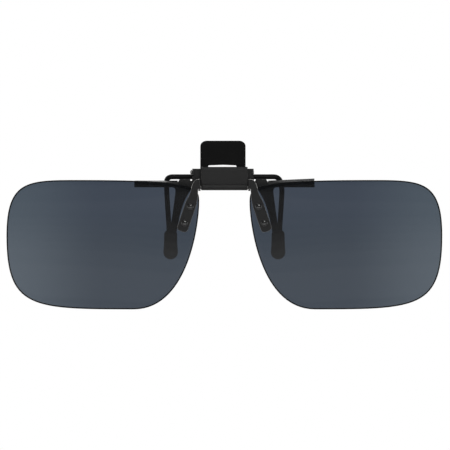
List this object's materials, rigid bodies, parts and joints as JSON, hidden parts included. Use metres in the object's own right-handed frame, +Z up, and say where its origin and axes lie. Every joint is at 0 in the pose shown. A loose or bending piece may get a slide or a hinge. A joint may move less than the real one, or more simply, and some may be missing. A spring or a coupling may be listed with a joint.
{
  "type": "clip-on sunglasses",
  "caption": "Flip-up clip-on sunglasses: rimless smoke-grey lenses riveted to brackets that flip up on a sprung bridge clip with rubber-tipped jaws and a slotted thumb tab.",
  "frame": {"origin": "where the clip grips the wearer's spectacles: midway between the left and right rubber tips, on the plane where the front and rear tips meet", "axes": "+Z up as worn, -Y the front, away from the wearer, +X to the right as seen from the front"},
  "size_m": [0.1356, 0.0131, 0.0525],
  "materials": {
    "black_steel": "satin black enamel",
    "tab_steel": "matte black enamel",
    "bracket_steel": "satin black enamel",
    "rivet_steel": "semi-gloss black",
    "spring_steel": "bare spring steel",
    "tip_rubber": "matte soft rubber",
    "smoke_lens": "glossy smoke-grey polarised film"
  },
  "bodies": {
    "clip": {"clip_frame": "black_steel", "housing_cover": "black_steel", "detent_spring": "spring_steel", "clamp_pin": "spring_steel", "clamp_spring": "spring_steel", "left_front_tip": "tip_rubber", "right_front_tip": "tip_rubber"},
    "rear_jaw": {"thumb_lever": "tab_steel", "rear_wire": "black_steel", "left_rear_tip": "tip_rubber", "right_rear_tip": "tip_rubber"},
    "lens_assembly": {"flip_axle": "spring_steel", "left_lens": "smoke_lens", "right_lens": "smoke_lens", "left_lens_bracket": "bracket_steel", "right_lens_bracket": "bracket_steel", "left_upper_rivet": "rivet_steel", "right_upper_rivet": "rivet_steel", "left_lower_rivet": "rivet_steel", "right_lower_rivet": "rivet_steel", "left_upper_washer": "rivet_steel", "right_upper_washer": "rivet_steel", "left_lower_washer": "rivet_steel", "right_lower_washer": "rivet_steel"}
  },
  "joints": [
    {"name": "clamp_hinge", "type": "hinge", "parent": "clip", "child": "rear_jaw", "pos_m": [0, 0.0001, 0.0223], "axis": [1, 0, 0], "range_deg": [0, 25], "stiffness_Nm_per_rad": 0.03, "springref_deg": -34.38},
    {"name": "lens_flip", "type": "hinge", "parent": "clip", "child": "lens_assembly", "pos_m": [0, -0.0054, 0.01762], "axis": [-1, 0, 0], "range_deg": [0, 95]}
  ]
}
